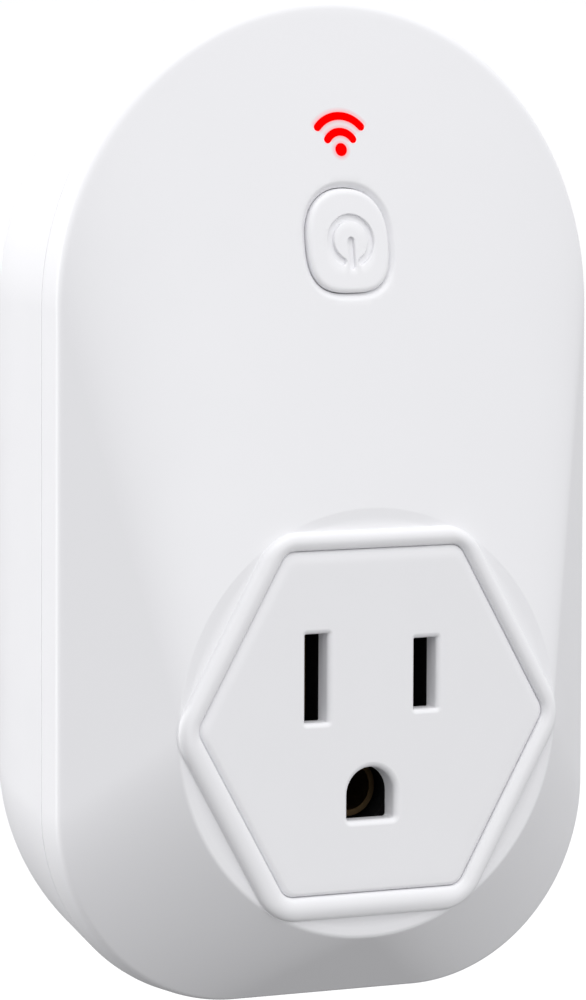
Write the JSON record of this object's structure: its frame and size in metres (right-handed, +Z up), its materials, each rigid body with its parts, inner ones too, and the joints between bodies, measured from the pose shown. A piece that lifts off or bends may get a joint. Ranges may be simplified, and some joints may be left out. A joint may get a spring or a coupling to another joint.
{
  "type": "smart plug",
  "caption": "Tall pass-through wall plug with a grounded outlet in a round boss, a sprung power button, a lit status icon and fixed blades at the back.",
  "frame": {"origin": "midway between the two flat blades, on the flat back face that rests on the wall plate", "axes": "+Y out of the back, along the blades into the wall; -Y is the front; +Z up; +X to the right seen from the front"},
  "size_m": [0.0618, 0.0499, 0.102],
  "materials": {
    "shell_white": "satin moulded plastic",
    "face_white": "satin moulded plastic",
    "button_white": "satin moulded plastic",
    "icon_red": "lit translucent light guide",
    "led_lens": "clear yellow lens",
    "black_plastic": "matte moulded plastic",
    "ivory_plastic": "matte moulded plastic",
    "board_green": "solder mask over glass fibre",
    "relay_blue": "glossy plastic",
    "copper_wire": "enamelled copper winding",
    "steel": "zinc plated",
    "nickel": "nickel plated brass",
    "contact_brass": "stamped spring brass",
    "capacitor_sleeve": "shrink sleeve",
    "resistor_green": "lacquered body",
    "film_yellow": "moulded box",
    "lead_black": "wire insulation",
    "lead_white": "wire insulation",
    "lead_red": "wire insulation",
    "insulation_paper": "pressed insulating paper"
  },
  "bodies": {
    "housing": {"front_cover": "shell_white", "rear_cover": "shell_white", "receptacle_face": "face_white", "light_guide": "icon_red", "light_shroud": "black_plastic", "status_leds": "led_lens", "tact_switch_body": "black_plastic", "tact_switch_dome": "steel", "main_board": "board_green", "relay_base": "black_plastic", "relay_case": "relay_blue", "relay_bobbin": "ivory_plastic", "relay_coil": "copper_wire", "relay_core": "steel", "relay_yoke": "steel", "relay_fixed_terminal": "contact_brass", "wifi_board": "board_green", "wifi_shield": "steel", "bulk_capacitors": "capacitor_sleeve", "bridge_rectifier": "black_plastic", "power_converter_chip": "black_plastic", "filter_inductor": "copper_wire", "fuse_resistor": "resistor_green", "surge_varistor": "relay_blue", "film_capacitor": "film_yellow", "chip_parts": "black_plastic", "contact_carrier": "black_plastic", "line_contact": "contact_brass", "neutral_contact": "contact_brass", "ground_contact": "contact_brass", "blade_holder": "black_plastic", "line_blade": "nickel", "neutral_blade": "nickel", "ground_pin": "nickel", "line_lead": "lead_black", "neutral_lead": "lead_white", "load_lead": "lead_red", "insulation_sheet": "insulation_paper", "carrier_screws": "steel", "board_screws": "steel", "case_screws": "steel"},
    "button": {"button_cap": "button_white"},
    "plunger": {"tact_switch_plunger": "black_plastic"},
    "armature": {"relay_armature": "steel", "relay_contact_spring": "contact_brass"}
  },
  "joints": [
    {"name": "button_press", "type": "slide", "parent": "housing", "child": "button", "axis": [0, 1, 0], "range_m": [0, 0.00035], "stiffness_N_per_m": 800, "springref_m": -0.0008},
    {"name": "plunger_press", "type": "slide", "parent": "housing", "child": "plunger", "axis": [0, 1, 0], "range_m": [0, 0.00035]},
    {"name": "armature_tip", "type": "hinge", "parent": "housing", "child": "armature", "pos_m": [0.0005, -0.0044, 0.03], "axis": [0, 0, 1], "range_deg": [0, 3], "stiffness_Nm_per_rad": 0.02, "springref_deg": -5.73}
  ],
  "couplings": [
    {"joint": "plunger_press", "follows": "button_press", "ratio": 1}
  ]
}
